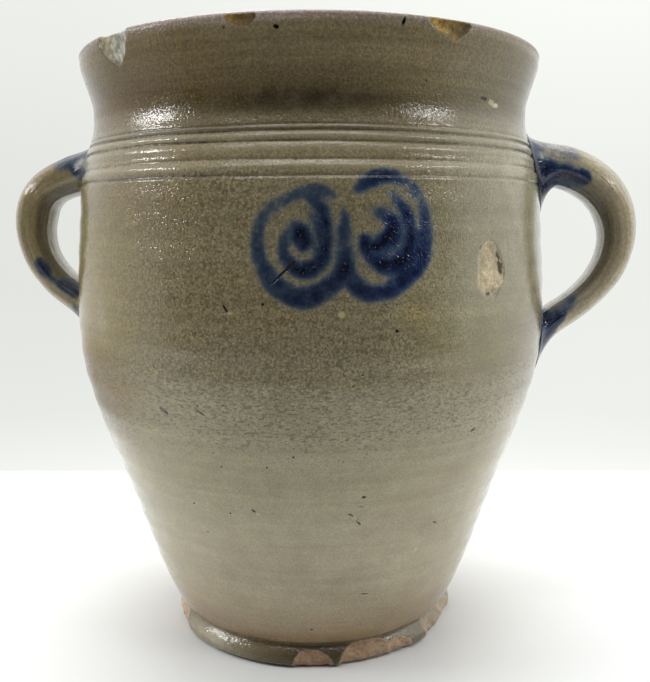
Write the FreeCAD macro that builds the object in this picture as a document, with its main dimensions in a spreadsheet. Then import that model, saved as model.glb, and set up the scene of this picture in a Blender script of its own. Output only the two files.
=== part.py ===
import FreeCAD, Part
import math
import os

import Sketcher

# An open stoneware jar: one thrown pot with two loop handles luted on. Millimetres and degrees,
# +Z up, origin on the jar's axis at its base. Azimuths are seen from above, 0 at the front (-Y)
# and positive towards the right (+X).

# Driving sizes, one cell each
SIZES = {
    "Jar": {
        "jar_height": 240,
        "wall_thickness": 7.5,
        "floor_thickness": 9,
        "floor_corner_radius": 14,
    },
    "Foot, heights above the base": {
        "foot_radius": 59.5,
        "foot_edge_radius": 61.5,
        "foot_edge_height": 1.8,
        "bead_top_height": 9.6,
        "bead_bulge_radius": 10,
        "foot_groove_radius": 3.2,
        "ankle_radius": 62.2,
        "ankle_height": 12.6,
        "shin_radius": 66,
        "shin_height": 21,
    },
    "Wall, heights above the base": {
        "flank_radius": 94.4,
        "flank_height": 102,
        "belly_radius": 99.6,
        "belly_height": 137,
        "belly_curve_radius": 118,
        "shoulder_radius": 94.9,
        "shoulder_curve_radius": 297,
    },
    "Neck and lip, heights below the rim": {
        "shoulder_drop": 50.4,
        "neck_radius": 91.2,
        "neck_drop": 33,
        "throat_curve_radius": 44,
        "collar_radius": 92.2,
        "collar_drop": 10.8,
        "lip_radius": 94.8,
        "lip_thickness": 6.8,
        "lip_round": 2.4,
    },
    "Turned rings, heights below the rim": {
        "upper_ring_drop": 35.5,
        "second_ring_drop": 38.7,
        "third_ring_drop": 44.6,
        "lower_ring_drop": 49.4,
        "sharp_ring_depth": 0.8,
        "soft_ring_depth": 0.6,
    },
    "Handles, common": {
        "handle_bury": 8,
        "upper_luting_bury": 5,
        "lower_luting_bury": 14,
        "luting_feather": 1,
    },
    "Left handle": {
        "left_azimuth": -91,
        "left_grip_gap": 13.3,
        "left_root_drop": 40,
        "left_crown_angle": 12,
        "left_crown_radius": 21,
        "left_heel_radius": 34,
        "left_tail_angle": 37.5,
        "left_tail_drop": 106,
        "left_root_thickness": 19.4,
        "left_root_width": 27,
        "left_tail_thickness": 12.6,
        "left_tail_width": 22,
        "left_upper_spread": 3.5,
        "left_upper_sag": 2,
        "left_upper_length": 9,
        "left_lower_spread": 3,
        "left_lower_sag": 2,
        "left_lower_length": 14,
    },
    "Right handle": {
        "right_azimuth": 84,
        "right_grip_gap": 23.8,
        "right_root_drop": 37,
        "right_crown_angle": 17,
        "right_crown_radius": 23,
        "right_heel_radius": 33,
        "right_tail_angle": 40,
        "right_tail_drop": 119.5,
        "right_root_thickness": 20,
        "right_root_width": 29,
        "right_tail_thickness": 11.6,
        "right_tail_width": 22,
        "right_upper_spread": 5,
        "right_upper_sag": 4,
        "right_upper_length": 14,
        "right_lower_spread": 3,
        "right_lower_sag": 3,
        "right_lower_length": 15,
    },
    "Chips in the rim, heights below the rim": {
        "left_scar_azimuth": -46.5,
        "left_scar_drop": 2,
        "left_scar_radius": 24,
        "left_scar_depth": 1.8,
        "front_nick_azimuth": -13.3,
        "front_nick_drop": 0,
        "front_nick_radius": 12,
        "front_nick_depth": 1.6,
        "right_scar_azimuth": 29.5,
        "right_scar_drop": 0,
        "right_scar_radius": 20,
        "right_scar_depth": 2.2,
    },
    "Chips in the foot, heights above the base": {
        "toe_chip_azimuth": 0,
        "toe_chip_height": 3,
        "toe_chip_radius": 14,
        "toe_chip_depth": 2,
        "long_chip_azimuth": 17,
        "long_chip_height": 2,
        "long_chip_radius": 22,
        "long_chip_depth": 2.6,
        "side_chip_azimuth": 36,
        "side_chip_height": 2,
        "side_chip_radius": 16,
        "side_chip_depth": 2.4,
        "heel_chip_azimuth": -60,
        "heel_chip_height": 3,
        "heel_chip_radius": 16,
        "heel_chip_depth": 2.2,
    },
    "Spall in the wall": {
        "spall_azimuth": 40.5,
        "spall_height": 156.5,
        "spall_depth": 1.9,
        "spall_reach_in": 6,
        "spall_reach_across": 10.5,
        "spall_reach_up": 17,
    },
}

# How far cutting shapes run past the surface that they open
OVERSHOOT = 5

# A flare of luting clay: the part of its spread and sag that it has inside the wall, at its waist
# and at its edge on the handle, and how far along its length the waist is
WALL_SHARE = 1.4
WAIST_SHARE = 0.45
EDGE_SHARE = 0
WAIST_REACH = 0.34

doc = FreeCAD.newDocument("stoneware_jar")


def fill_sheet():
    """One row for each size, under a heading for each group."""
    sheet = doc.addObject("Spreadsheet::Sheet", "sizes")
    row = 1
    for heading, cells in SIZES.items():
        sheet.set(f"A{row}", heading)
        row += 1
        for alias, value in cells.items():
            sheet.set(f"A{row}", alias.replace("_", " "))
            sheet.set(f"B{row}", str(value))
            sheet.setAlias(f"B{row}", alias)
            row += 1
    doc.recompute()
    return sheet


sizes = fill_sheet()


def cell(alias):
    """How an expression names a cell of the sheet."""
    return f"sizes.{alias}"


def below_rim(alias):
    """The height of something that is measured down from the rim."""
    return f"sizes.jar_height - sizes.{alias}"


def number(expression):
    """The present value of an expression."""
    return float(sizes.evalExpression(expression))


def new_sketch(body, name, role):
    """An empty sketch on one of the body's own origin planes."""
    plane = next(item for item in body.Origin.OriginFeatures if item.Role == role)
    sketch = body.newObject("Sketcher::SketchObject", name)
    sketch.AttachmentSupport = (plane, [""])
    sketch.MapMode = "FlatFace"
    return sketch


def bind(sketch, index, name, expression):
    """Names a constraint and ties it to the sheet."""
    sketch.renameConstraint(index, name)
    sketch.setExpression(f"Constraints.{name}", expression)


def pin_point(sketch, geometry, end, name, radius, height):
    """Ties one end of a line or an arc to a radius and a height. None stands for nought."""
    if radius is None:
        sketch.addConstraint(Sketcher.Constraint("PointOnObject", geometry, end, -2))
    else:
        at = Sketcher.Constraint("DistanceX", -1, 1, geometry, end, number(radius))
        bind(sketch, sketch.addConstraint(at), f"{name}_radius", radius)
    if height is None:
        sketch.addConstraint(Sketcher.Constraint("PointOnObject", geometry, end, -1))
    else:
        at = Sketcher.Constraint("DistanceY", -1, 1, geometry, end, number(height))
        bind(sketch, sketch.addConstraint(at), f"{name}_height", height)


def trace(sketch, outline):
    """Draws a closed outline. Each corner is (name, radius, height) and, where an arc leads on to the
    next corner, the arc's radius and the side that it bulges to, seen along the way: left or right."""
    corners = []
    for corner in outline:
        radius, height = corner[1:3]
        spot = (number(radius) if radius else 0, number(height) if height else 0)
        corners.append(FreeCAD.Vector(*spot, 0))
    starts = []
    ends = []
    for index, corner in enumerate(outline):
        here = corners[index]
        there = corners[(index + 1) % len(corners)]
        if len(corner) == 3:
            starts.append((sketch.addGeometry(Part.LineSegment(here, there), False), 1))
            ends.append((starts[-1][0], 2))
            continue
        curve, side = corner[3:]
        bend = number(curve)
        way = there - here
        middle = (here + there) * 0.5
        to_centre = math.sqrt(bend * bend - way.Length * way.Length / 4)
        across = FreeCAD.Vector(way.y, -way.x, 0).normalize()
        centre = middle + across * (to_centre if side == "left" else -to_centre)
        first, last = (there, here) if side == "left" else (here, there)
        circle = Part.Circle(centre, FreeCAD.Vector(0, 0, 1), bend)
        arc = Part.ArcOfCircle(circle, angle_of(first - centre), angle_of(last - centre))
        geometry = sketch.addGeometry(arc, False)
        bent = sketch.addConstraint(Sketcher.Constraint("Radius", geometry, bend))
        bind(sketch, bent, f"{corner[0]}_bend", curve)
        starts.append((geometry, 2 if side == "left" else 1))
        ends.append((geometry, 1 if side == "left" else 2))
    for index, corner in enumerate(outline):
        sketch.addConstraint(Sketcher.Constraint("Coincident", *ends[index - 1], *starts[index]))
        pin_point(sketch, *starts[index], *corner[:3])


def angle_of(way):
    """The angle of a vector in the sketch, in radians."""
    return math.atan2(way.y, way.x)


def revolve(body, kind, sketch):
    """Turns a sketch once round the body's vertical axis."""
    turned = body.newObject(kind, sketch.Name.replace("outline", "turning"))
    turned.Profile = (sketch, [""])
    turned.ReferenceAxis = (sketch, ["V_Axis"])
    turned.Angle = 360
    return turned


def skin(side):
    """The corners that the outside and the inside of the wall share. The inside is the outside
    moved in by the wall's thickness."""
    inward = "" if side == "outer" else " - sizes.wall_thickness"
    names = ("flank", "belly", "shoulder", "neck", "collar")
    places = {name: cell(f"{name}_radius") + inward for name in names}
    return [
        ("flank", places["flank"], cell("flank_height"), cell("belly_curve_radius"), "right"),
        ("belly", places["belly"], cell("belly_height"), cell("shoulder_curve_radius"), "right"),
        ("shoulder", places["shoulder"], below_rim("shoulder_drop")),
        ("neck", places["neck"], below_rim("neck_drop"), cell("throat_curve_radius"), "left"),
        ("collar", places["collar"], below_rim("collar_drop")),
    ]


def outer_form():
    """The pot's outside as a solid, with its turned rings, before it is hollowed."""
    body = doc.addObject("PartDesign::Body", "outer_form")
    sketch = new_sketch(body, "outer_outline", "XZ_Plane")
    lip_side = below_rim("lip_round")
    foot = [
        ("base", None, None),
        ("foot", cell("foot_radius"), None),
        ("bead_foot", cell("foot_edge_radius"), cell("foot_edge_height"), cell("bead_bulge_radius"), "right"),
        ("bead_top", cell("foot_edge_radius"), cell("bead_top_height"), cell("foot_groove_radius"), "left"),
        ("ankle", cell("ankle_radius"), cell("ankle_height")),
        ("shin", cell("shin_radius"), cell("shin_height")),
    ]
    lip = [
        ("lip_side", cell("lip_radius"), lip_side, cell("lip_round"), "right"),
        ("lip_top", f"{cell('lip_radius')} - {cell('lip_round')}", cell("jar_height")),
        ("crown", None, cell("jar_height")),
    ]
    trace(sketch, foot + skin("outer") + lip)
    revolve(body, "PartDesign::Revolution", sketch)
    doc.recompute()
    cut_rings(body)
    return body


def cut_rings(body):
    """The incised lines under the neck, round grooves centred on the slope from shoulder to neck."""
    sketch = new_sketch(body, "rings_outline", "XZ_Plane")
    ends = []
    for name, height in (("shoulder", below_rim("shoulder_drop")), ("neck", below_rim("neck_drop"))):
        radius = cell(f"{name}_radius")
        ends.append((name, radius, height, FreeCAD.Vector(number(radius), number(height), 0)))
    slope = sketch.addGeometry(Part.LineSegment(ends[0][3], ends[1][3]), True)
    for end, (name, radius, height, _) in enumerate(ends, 1):
        pin_point(sketch, slope, end, name, radius, height)
    way = ends[1][3] - ends[0][3]
    for ring in ("upper", "second", "third", "lower"):
        depth = cell("sharp_ring_depth" if ring in ("upper", "second") else "soft_ring_depth")
        height = below_rim(f"{ring}_ring_drop")
        share = (number(height) - ends[0][3].y) / way.y
        circle = Part.Circle(ends[0][3] + way * share, FreeCAD.Vector(0, 0, 1), number(depth))
        geometry = sketch.addGeometry(circle, False)
        sketch.addConstraint(Sketcher.Constraint("PointOnObject", geometry, 3, slope))
        at = Sketcher.Constraint("DistanceY", -1, 1, geometry, 3, number(height))
        bind(sketch, sketch.addConstraint(at), f"{ring}_height", height)
        wide = sketch.addConstraint(Sketcher.Constraint("Radius", geometry, number(depth)))
        bind(sketch, wide, f"{ring}_depth", depth)
    whole = body.Shape.Volume
    revolve(body, "PartDesign::Groove", sketch)
    doc.recompute()
    if body.Shape.Volume >= whole:
        raise RuntimeError("The rings cut nothing")


def cavity():
    """The hollow of the pot as a solid, open past the rim."""
    body = doc.addObject("PartDesign::Body", "cavity")
    sketch = new_sketch(body, "cavity_outline", "XZ_Plane")
    lip_inside = f"{cell('lip_radius')} - {cell('lip_thickness')}"
    mouth = f"{lip_inside} + {cell('lip_round')}"
    above = f"{cell('jar_height')} + {OVERSHOOT}"
    floor = cell("floor_thickness")
    corner = cell("floor_corner_radius")
    wall_foot = f"{cell('shin_radius')} - {cell('wall_thickness')}"
    floor_edge = [
        ("floor", None, floor),
        ("floor_edge", f"{wall_foot} - {corner}", floor, corner, "right"),
        ("wall_foot", wall_foot, f"{floor} + {corner}"),
    ]
    lip = [
        ("lip_inside", lip_inside, below_rim("lip_round"), cell("lip_round"), "left"),
        ("mouth", mouth, cell("jar_height")),
        ("mouth_above", mouth, above),
        ("crown", None, above),
    ]
    trace(sketch, floor_edge + skin("inner") + lip)
    revolve(body, "PartDesign::Revolution", sketch)
    return body


def seen_from(azimuth, distance):
    """The place at a distance from the axis, as the two expressions for X and Y."""
    turn = f"{cell(azimuth)} * 1 deg"
    return f"({distance}) * sin({turn})", f"-({distance}) * cos({turn})"


def chip(name, surface, height):
    """A ball that takes a flake off the surface."""
    ball = doc.addObject("Part::Sphere", name)
    ball.setExpression("Radius", cell(f"{name}_radius"))
    distance = f"{cell(surface)} + {cell(name + '_radius')} - {cell(name + '_depth')}"
    across, along = seen_from(f"{name}_azimuth", distance)
    ball.setExpression("Placement.Base.x", across)
    ball.setExpression("Placement.Base.y", along)
    ball.setExpression("Placement.Base.z", height)
    return ball


def spall():
    """The long shallow flake that is gone from the front of the belly."""
    flake = doc.addObject("Part::Ellipsoid", "spall")
    flake.setExpression("Radius1", cell("spall_reach_up"))
    flake.setExpression("Radius2", cell("spall_reach_across"))
    flake.setExpression("Radius3", cell("spall_reach_in"))
    distance = f"{cell('belly_radius')} + {cell('spall_reach_in')} - {cell('spall_depth')}"
    across, along = seen_from("spall_azimuth", distance)
    spot = f"vector({across}; {along}; {cell('spall_height')})"
    flake.setExpression("Placement", f"placement({spot}; rotation(vector(0; 0; 1); {cell('spall_azimuth')}))")
    return flake


def cut(name, base, tools):
    """One solid less others."""
    rest = base
    for index, tool in enumerate(tools, 1):
        step = doc.addObject("Part::Cut", name if index == len(tools) else f"{name}_step_{index}")
        step.Base = rest
        step.Tool = tool
        rest = step
    return rest


def thrown_body(form):
    """The pot: its outside, hollowed, with the flakes that it has lost."""
    flakes = []
    for name in ("left_scar", "front_nick", "right_scar"):
        flakes.append(chip(name, "lip_radius", below_rim(f"{name}_drop")))
    for name in ("toe_chip", "long_chip", "side_chip", "heel_chip"):
        flakes.append(chip(name, "foot_edge_radius", cell(f"{name}_height")))
    flakes.append(spall())
    losses = doc.addObject("Part::MultiFuse", "losses")
    losses.Shapes = flakes
    return cut("thrown_body", form, [cavity(), losses])


def root_place(side):
    """Where a handle's centre line starts, inside the wall: its radius and height."""
    return f"{cell('neck_radius')} - {cell('handle_bury')}", below_rim(f"{side}_root_drop")


def tail_place(side):
    """Where a handle's centre line ends, inside the wall: its radius and height."""
    return f"{cell('belly_radius')} - {cell('handle_bury')}", below_rim(f"{side}_tail_drop")


def handle_path(body, side):
    """The centre line of a handle: out from the wall, round the crown, down the grip, round the heel
    and back to the wall."""
    sketch = new_sketch(body, f"{side}_path", "XZ_Plane")
    root = FreeCAD.Vector(*[number(value) for value in root_place(side)], 0)
    tail = FreeCAD.Vector(*[number(value) for value in tail_place(side)], 0)
    middle_thickness = f"({cell(side + '_root_thickness')} + {cell(side + '_tail_thickness')}) / 4"
    reach = f"{cell('belly_radius')} + {cell(side + '_grip_gap')} + {middle_thickness}"
    grip = number(reach)
    crown_turn = math.radians(number(cell(f"{side}_crown_angle")))
    tail_turn = math.radians(number(cell(f"{side}_tail_angle")))
    crown = FreeCAD.Vector(grip, root.y - (grip - root.x) * math.tan(crown_turn), 0)
    heel = FreeCAD.Vector(grip, tail.y + (grip - tail.x) * math.tan(tail_turn), 0)
    bends = []
    for name, corner, before in (("crown", crown, root), ("heel", heel, tail)):
        bend = number(cell(f"{side}_{name}_radius"))
        run = (before - corner).normalize()
        straight = FreeCAD.Vector(0, -1 if name == "crown" else 1, 0)
        half = run.getAngle(straight) / 2
        centre = corner + (run + straight).normalize() * (bend / math.sin(half))
        length = bend / math.tan(half)
        bends.append((centre, bend, corner + run * length, corner + straight * length))
    lines = [(root, bends[0][2]), (bends[0][3], bends[1][3]), (tail, bends[1][2])]
    top, grip_line, low = [sketch.addGeometry(Part.LineSegment(*ends), False) for ends in lines]
    arcs = []
    for centre, bend, slanted, upright in bends:
        angles = sorted([angle_of(slanted - centre), angle_of(upright - centre)])
        circle = Part.Circle(centre, FreeCAD.Vector(0, 0, 1), bend)
        arcs.append(sketch.addGeometry(Part.ArcOfCircle(circle, *angles), False))
    joints = [
        (top, 2, arcs[0], 2),
        (grip_line, 1, arcs[0], 1),
        (grip_line, 2, arcs[1], 2),
        (low, 2, arcs[1], 1),
    ]
    for joint in joints:
        sketch.addConstraint(Sketcher.Constraint("Tangent", *joint))
    sketch.addConstraint(Sketcher.Constraint("Vertical", grip_line))
    out = Sketcher.Constraint("DistanceX", -1, 1, grip_line, 1, grip)
    bind(sketch, sketch.addConstraint(out), "reach", reach)
    pin_point(sketch, top, 1, "root", *root_place(side))
    pin_point(sketch, low, 1, "tail", *tail_place(side))
    for geometry, name, sign, turn in ((top, "crown", -1, crown_turn), (low, "tail", 1, tail_turn)):
        slant = sketch.addConstraint(Sketcher.Constraint("Angle", geometry, sign * turn))
        bind(sketch, slant, f"{name}_angle", f"{sign} * {cell(side + '_' + name + '_angle')} * 1 deg")
    for arc, name in zip(arcs, ("crown", "heel")):
        bend = cell(f"{side}_{name}_radius")
        bent = sketch.addConstraint(Sketcher.Constraint("Radius", arc, number(bend)))
        bind(sketch, bent, f"{name}_bend", bend)
    return sketch


def oval(body, name, place, turn, width, thickness):
    """A handle's section, square to its centre line: wide across, thinner in the handle's plane."""
    sketch = new_sketch(body, name, "YZ_Plane")
    radius, height = place
    spot = FreeCAD.Vector(0, number(height), number(radius))
    slant = FreeCAD.Rotation(FreeCAD.Vector(1, 0, 0), number(turn))
    sketch.AttachmentOffset = FreeCAD.Placement(spot, slant)
    sketch.setExpression("AttachmentOffset.Base.y", height)
    sketch.setExpression("AttachmentOffset.Base.z", radius)
    sketch.setExpression("AttachmentOffset.Rotation.Angle", turn)
    half_width = number(width) / 2
    half_thickness = number(thickness) / 2
    ends = (FreeCAD.Vector(half_width, 0, 0), FreeCAD.Vector(0, half_thickness, 0))
    ring = sketch.addGeometry(Part.Ellipse(*ends, FreeCAD.Vector()), False)
    sketch.exposeInternalGeometry(ring)
    long_axis, short_axis = ring + 1, ring + 2
    sketch.addConstraint(Sketcher.Constraint("Coincident", ring, 3, -1, 1))
    sketch.addConstraint(Sketcher.Constraint("Horizontal", long_axis))
    for axis, label, size in ((long_axis, "width", width), (short_axis, "thickness", thickness)):
        across = sketch.addConstraint(Sketcher.Constraint("Distance", axis, number(size)))
        bind(sketch, across, label, size)
    return sketch


def raw_handle(side):
    """A pulled handle in the XZ plane, tapering from root to tail, with both ends inside the wall."""
    body = doc.addObject("PartDesign::Body", f"{side}_handle_pulled")
    path = handle_path(body, side)
    sections = []
    for end, place, turn in (
        ("root", root_place(side), cell(f"{side}_crown_angle")),
        ("tail", tail_place(side), f"-{cell(side + '_tail_angle')}"),
    ):
        width, thickness = cell(f"{side}_{end}_width"), cell(f"{side}_{end}_thickness")
        sections.append(oval(body, f"{side}_{end}_section", place, turn, width, thickness))
    doc.recompute()
    pull = body.newObject("PartDesign::AdditivePipe", f"{side}_pull")
    pull.Profile = (sections[0], [""])
    pull.Spine = (path, [""])
    pull.Sections = [(sections[1], [""])]
    pull.Transformation = "Multisection"
    return body


def turned(side):
    """The placement that swings a handle from the XZ plane to its own side of the jar."""
    return f"placement(vector(0; 0; 0); rotation(vector(0; 0; 1); {cell(side + '_azimuth')} - 90))"


def raw_luting(side, end):
    """The clay worked round a handle's end, a flare that widens towards the wall and sags below it."""
    spread, sag = cell(f"{side}_{end}_spread"), cell(f"{side}_{end}_sag")
    length = cell(f"{side}_{end}_length")
    place, angle, sign, section = (
        (root_place(side), cell(f"{side}_crown_angle"), "+", "root")
        if end == "upper"
        else (tail_place(side), cell(f"{side}_tail_angle"), "-", "tail")
    )
    width, thickness = cell(f"{side}_{section}_width"), cell(f"{side}_{section}_thickness")
    buried = f"{cell('handle_bury')} / cos({angle} * 1 deg)"
    rings = (
        ("wall", f"{buried} - {cell(end + '_luting_bury')}", WALL_SHARE),
        ("waist", f"{buried} + {WAIST_REACH} * {length}", WAIST_SHARE),
        ("edge", f"{buried} + {length}", EDGE_SHARE),
    )
    ovals = []
    for name, distance, share in rings:
        ring = doc.addObject("Part::Ellipse", f"{side}_{end}_{name}")
        grown = f"{share} * ({spread} + {sag} / 2) - {cell('luting_feather')}"
        ring.setExpression("MajorRadius", f"{width} / 2 + {grown}")
        ring.setExpression("MinorRadius", f"{thickness} / 2 + {grown}")
        spot = f"vector({share} * {sag} / 2; 0; {distance})"
        ring.setExpression("Placement", f"placement({spot}; rotation(vector(0; 0; 1); 90))")
        ovals.append(ring)
    flare = doc.addObject("Part::Loft", f"{side}_{end}_flare")
    flare.Sections = ovals
    flare.Solid = True
    flare.Ruled = True
    radius, height = place
    spot = f"vector({radius}; 0; {height})"
    flare.setExpression("Placement", f"placement({spot}; rotation(vector(0; 1; 0); 90 {sign} {angle}))")
    return flare


def handle_set(side, form):
    """A handle and the luting clay at its two ends, all cut to sit on the wall."""
    pulled = raw_handle(side)
    pieces = [cut(f"{side}_handle", pulled, [form])]
    for end in ("upper", "lower"):
        pieces.append(cut(f"{side}_{end}_luting_clay", raw_luting(side, end), [pulled, form]))
    for piece in pieces:
        piece.setExpression("Placement", turned(side))
    return pieces


def check_and_write(pieces):
    """Refuses a failed object or a bad shape, then writes each piece to its own file."""
    for item in doc.Objects:
        if "Invalid" in item.State or "Error" in item.State:
            raise RuntimeError(f"{item.Name} failed: {item.State}")
    for piece in pieces:
        if piece.Shape.isNull() or not piece.Shape.isValid() or len(piece.Shape.Solids) != 1:
            raise RuntimeError(f"{piece.Label} has no single valid solid")
    os.makedirs("parts", exist_ok=True)
    for piece in pieces:
        piece.Shape.exportStep(f"parts/{piece.Label}.step")
        box = piece.Shape.BoundBox
        print(piece.Label, round(piece.Shape.Volume), [round(value, 1) for value in (box.XMin, box.XMax)])


form = outer_form()
pieces = [thrown_body(form)] + handle_set("left", form) + handle_set("right", form)
for piece in pieces:
    piece.Label = piece.Name
doc.recompute()
check_and_write(pieces)
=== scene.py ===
import math
from types import SimpleNamespace

import bpy
import numpy as np
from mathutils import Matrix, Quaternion, Vector


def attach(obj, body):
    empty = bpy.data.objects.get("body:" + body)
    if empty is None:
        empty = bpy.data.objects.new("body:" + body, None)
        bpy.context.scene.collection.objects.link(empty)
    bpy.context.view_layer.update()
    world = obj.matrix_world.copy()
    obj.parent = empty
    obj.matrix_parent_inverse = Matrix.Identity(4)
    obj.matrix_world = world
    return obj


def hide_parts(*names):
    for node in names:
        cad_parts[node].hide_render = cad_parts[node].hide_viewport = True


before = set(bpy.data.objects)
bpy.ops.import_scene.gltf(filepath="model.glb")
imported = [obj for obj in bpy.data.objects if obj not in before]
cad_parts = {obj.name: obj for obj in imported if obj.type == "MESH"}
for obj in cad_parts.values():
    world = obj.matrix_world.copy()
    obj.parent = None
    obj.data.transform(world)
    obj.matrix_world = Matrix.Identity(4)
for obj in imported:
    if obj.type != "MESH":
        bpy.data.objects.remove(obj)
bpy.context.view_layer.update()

MM = 0.001
HEIGHT = 240
WALL = 7.5
FLOOR_THICKNESS = 9
FLOOR_CORNER = 14
# The underside is slightly hollow, up to this radius and by this much
HOLLOW_RADIUS = 58
HOLLOW_DEPTH = 0.3

# The outside of the pot: height, radius
OUTLINE = (
    (0, 59.6), (1.2, 61.4), (2.4, 62.3), (3.6, 62.5), (4.8, 62.3), (6, 61.7), (7.2, 60.9),
    (8.4, 60), (9.2, 59.7), (9.8, 60), (10.8, 61.2), (12.4, 62.2), (16, 63.8), (21, 66.1),
    (30, 69.6), (45, 74.7), (65, 81.4), (85, 88.6), (103, 94.5), (118, 98), (132, 99.2),
    (146, 99.1), (162, 98.3), (176, 97.3), (186, 96.3), (189.5, 95.9), (195.3, 94.4), (199.5, 93.5),
    (206, 91.65), (209, 90.75), (212, 90.25), (216, 90.05), (220, 90.15), (225, 91.4), (231, 93.3),
    (235, 94.4), (238.4, 94.6),
)
# The lip: where its outer round starts as height and radius, its thickness, the radius of its rounds
LIP_START = 238.4
LIP_RADIUS = 94.6
LIP_THICKNESS = 7
LIP_ROUND = 1.6
# No place outside is further from the axis than this
WIDEST = 99.4

# Turned lines: height, how far each stands out (less than 0 is cut in), half width
TURNED_LINES = (
    (205.5, -0.25, 0.35), (204.7, 0.2, 0.45), (203.6, -0.6, 0.36),
    (202, 0.32, 0.9), (200.2, -0.7, 0.45), (198.2, 0.26, 1.2),
    (194.2, -0.3, 0.6), (192.3, 0.32, 1.2), (189.4, -0.5, 0.6),
)
# The groove above the foot's bead: height, half width
FOOT_GROOVE = (9.3, 0.5)
# The left side's cut lines are the darkest: how much of the darkening the others get, the middle of that
# side, and how far from it the darkening starts and ends to fade
DARK_CUT_LINES = (0.16, -62, 36, 60)

# Rows of the pot's mesh outside: from, to, step in height
OUTER_ROWS = (
    (0, 12.4, 0.4), (12.4, 112, 1.6), (112, 186, 1.1), (186, 208, 0.3),
    (208, 210, 0.5), (210, 226, 1.1), (226, 238.4, 0.6),
)
# Columns of the pot's mesh: fine to this azimuth either side of the front, coarse behind
FINE_SPAN = 84
FINE_COLUMNS = 240
COARSE_COLUMNS = 80
# Kinds of place on the pot
UNDER, OUTSIDE, LIP, INSIDE = range(4)
# Stands for a place that is in no flake
NO_FLAKE = -50.0
# No flake reaches further to either side of its middle than this
FLAKE_REACH = 40
# Radii between which a flake fades out, under the foot and on the lip
FADE_UNDER = (50, 59)
FADE_LIP = (88.5, 94)
# Seeds of the noise in the shape
DRIFT_SEED = 40
STRENGTH_SEED = 60
RIDGE_SEED = 5
WOBBLE_SEED = 11
CHOP_SEED = 3


def smooth(places, knots, values):
    """A curve through the knots without corners, read at the places."""
    knots = np.asarray(knots, float)
    values = np.asarray(values, float)
    slopes = np.gradient(values, knots)
    left = np.clip(np.searchsorted(knots, places) - 1, 0, len(knots) - 2)
    span = knots[left + 1] - knots[left]
    t = np.clip((places - knots[left]) / span, 0, 1)
    rise = t * t * (3 - 2 * t)
    start = t * (1 - t) ** 2 * span * slopes[left]
    end = t * t * (t - 1) * span * slopes[left + 1]
    return values[left] + (values[left + 1] - values[left]) * rise + start + end


def step(value, low, high):
    """0 below low, 1 above high, smooth between."""
    t = np.clip((value - low) / (high - low), 0, 1)
    return t * t * (3 - 2 * t)


def wall_radius(height):
    """The outer radius at a height, without the turned lines."""
    return smooth(height, *zip(*OUTLINE))


def waves(angles, seed, counts):
    """A smooth closed wave round the jar, about -1 to 1."""
    random = np.random.default_rng(seed)
    total = np.zeros_like(angles)
    for count in counts:
        total += np.cos(np.radians(angles) * count + random.uniform(0, 2 * math.pi))
    return total / math.sqrt(len(counts))


def make_mesh(name, points, faces, smooth_faces=True):
    """An object from points in millimetres."""
    mesh = bpy.data.meshes.new(name)
    mesh.from_pydata((np.asarray(points) * MM).tolist(), [], faces)
    mesh.update()
    if smooth_faces:
        mesh.shade_smooth()
    made = bpy.data.objects.new(name, mesh)
    bpy.context.scene.collection.objects.link(made)
    return made


def grid_faces(rows, columns):
    """Quads of a grid whose rows run round, with a lid on each end."""
    faces = [tuple(range(columns - 1, -1, -1))]
    for row in range(rows - 1):
        first = row * columns
        for column in range(columns):
            after = (column + 1) % columns
            faces.append((first + column, first + after, first + columns + after, first + columns + column))
    last = (rows - 1) * columns
    return faces + [tuple(range(last, last + columns))]


def store(piece, name, values, kind="FLOAT"):
    """Keeps a number, vector or colour for each point of a piece."""
    field = {"FLOAT": "value", "FLOAT_VECTOR": "vector", "FLOAT_COLOR": "color"}[kind]
    layer = piece.data.attributes.new(name, kind, "POINT")
    layer.data.foreach_set(field, np.asarray(values, np.float32).ravel())


def from_segment(across, up, start, end):
    """How far each place is from the straight line between two points."""
    run = end[0] - start[0]
    climb = end[1] - start[1]
    share = np.clip(((across - start[0]) * run + (up - start[1]) * climb) / (run**2 + climb**2), 0, 1)
    return np.hypot(across - start[0] - share * run, up - start[1] - share * climb)


def srgb(red, green, blue):
    """A screen colour of 0 to 255 as a linear one."""
    return tuple(((part / 255 + 0.055) / 1.055) ** 2.4 for part in (red, green, blue)) + (1.0,)


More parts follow.
